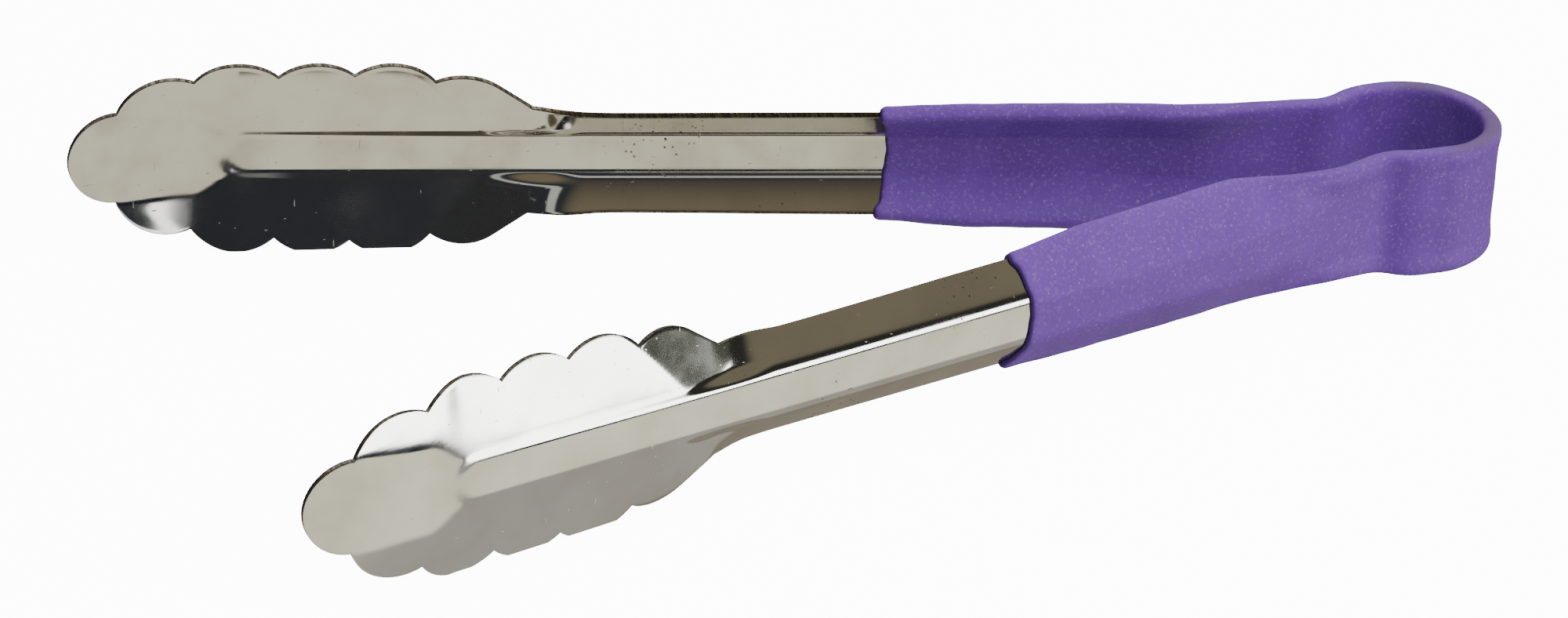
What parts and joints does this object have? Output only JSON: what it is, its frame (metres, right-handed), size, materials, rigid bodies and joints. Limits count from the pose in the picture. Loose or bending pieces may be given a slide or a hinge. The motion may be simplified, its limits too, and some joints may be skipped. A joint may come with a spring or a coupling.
{
  "type": "scalloped kitchen tongs",
  "caption": "One-piece spring tongs with scalloped scoop jaws, channel arms, a bowed spring back and a dipped vinyl grip.",
  "frame": {"origin": "centre of the bounding box of the open tongs at rest", "axes": "+X from the jaw tips to the bow, +Y towards the left arm, +Z across the strip; the tongs lie on their edge on a surface under -Z"},
  "size_m": [0.2346, 0.1274, 0.0354],
  "materials": {
    "steel": "bright polished stainless steel with fine scratches",
    "vinyl": "satin dipped vinyl with a fine pale speckle"
  },
  "bodies": {
    "bow": {"spring_bow": "steel", "bow_grip": "vinyl"},
    "left_arm": {"left_jaw_arm": "steel", "left_grip": "vinyl"},
    "right_arm": {"right_jaw_arm": "steel", "right_grip": "vinyl"}
  },
  "joints": [
    {"name": "left_arm_flex", "type": "hinge", "parent": "bow", "child": "left_arm", "pos_m": [0.10245, 0.0129, 0], "axis": [0, 0, 1], "range_deg": [-4, 15.9], "stiffness_Nm_per_rad": 6},
    {"name": "right_arm_flex", "type": "hinge", "parent": "bow", "child": "right_arm", "pos_m": [0.10245, -0.0129, 0], "axis": [0, 0, 1], "range_deg": [-15.9, 4], "stiffness_Nm_per_rad": 6}
  ],
  "couplings": [
    {"joint": "right_arm_flex", "follows": "left_arm_flex", "ratio": -1}
  ]
}
